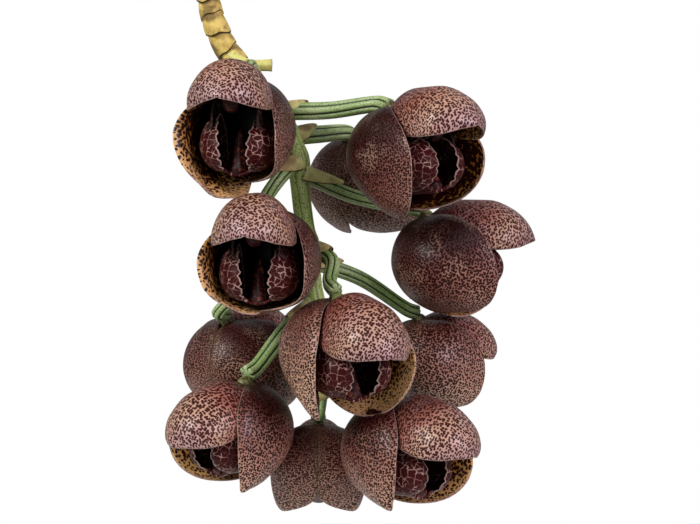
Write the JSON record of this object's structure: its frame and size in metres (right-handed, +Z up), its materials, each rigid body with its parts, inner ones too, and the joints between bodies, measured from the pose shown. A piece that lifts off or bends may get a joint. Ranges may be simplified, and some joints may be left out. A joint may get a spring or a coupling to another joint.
{
  "type": "potted acineta superba",
  "caption": "Hanging potted orchid with grooved bulbs, arching pleated leaves and one drooping spike of spotted, hooded globe-shaped flowers.",
  "frame": {"origin": "inside top of the hook, where the hanging pot hangs", "axes": "+Z up; the flower spike hangs towards +X and -Y; the flowers' fronts are seen looking along +Y"},
  "size_m": [0.3969, 0.3786, 0.6335],
  "materials": {
    "clay": "unglazed fired clay, matte, with pale mineral bloom near the rim",
    "bark": "rough fir bark chips",
    "wire": "galvanised drawn wire",
    "bulb": "smooth satin green skin with grooves and dry papery sheaths",
    "leaf": "satin pleated leaf",
    "stalk": "tan papery sheaths with dark edges",
    "rachis": "fleshy ribbed green stems with a soft sheen",
    "bloom": "waxy pink-tan sepals with dense maroon spots, ochre inside"
  },
  "bodies": {
    "root": {"pot": "clay", "bark": "bark", "hook": "wire", "leg_1": "wire", "leg_2": "wire", "leg_3": "wire", "bulb_1": "bulb", "bulb_2": "bulb", "bulb_3": "bulb", "bulb_4": "bulb", "leaves_1": "leaf", "leaves_2": "leaf", "leaves_3": "leaf", "stalk": "stalk", "rachis": "rachis", "bloom_01": "bloom", "bloom_02": "bloom", "bloom_03": "bloom", "bloom_04": "bloom", "bloom_05": "bloom", "bloom_06": "bloom", "bloom_07": "bloom", "bloom_08": "bloom", "bloom_09": "bloom", "bloom_10": "bloom", "bloom_11": "bloom"}
  },
  "joints": []
}
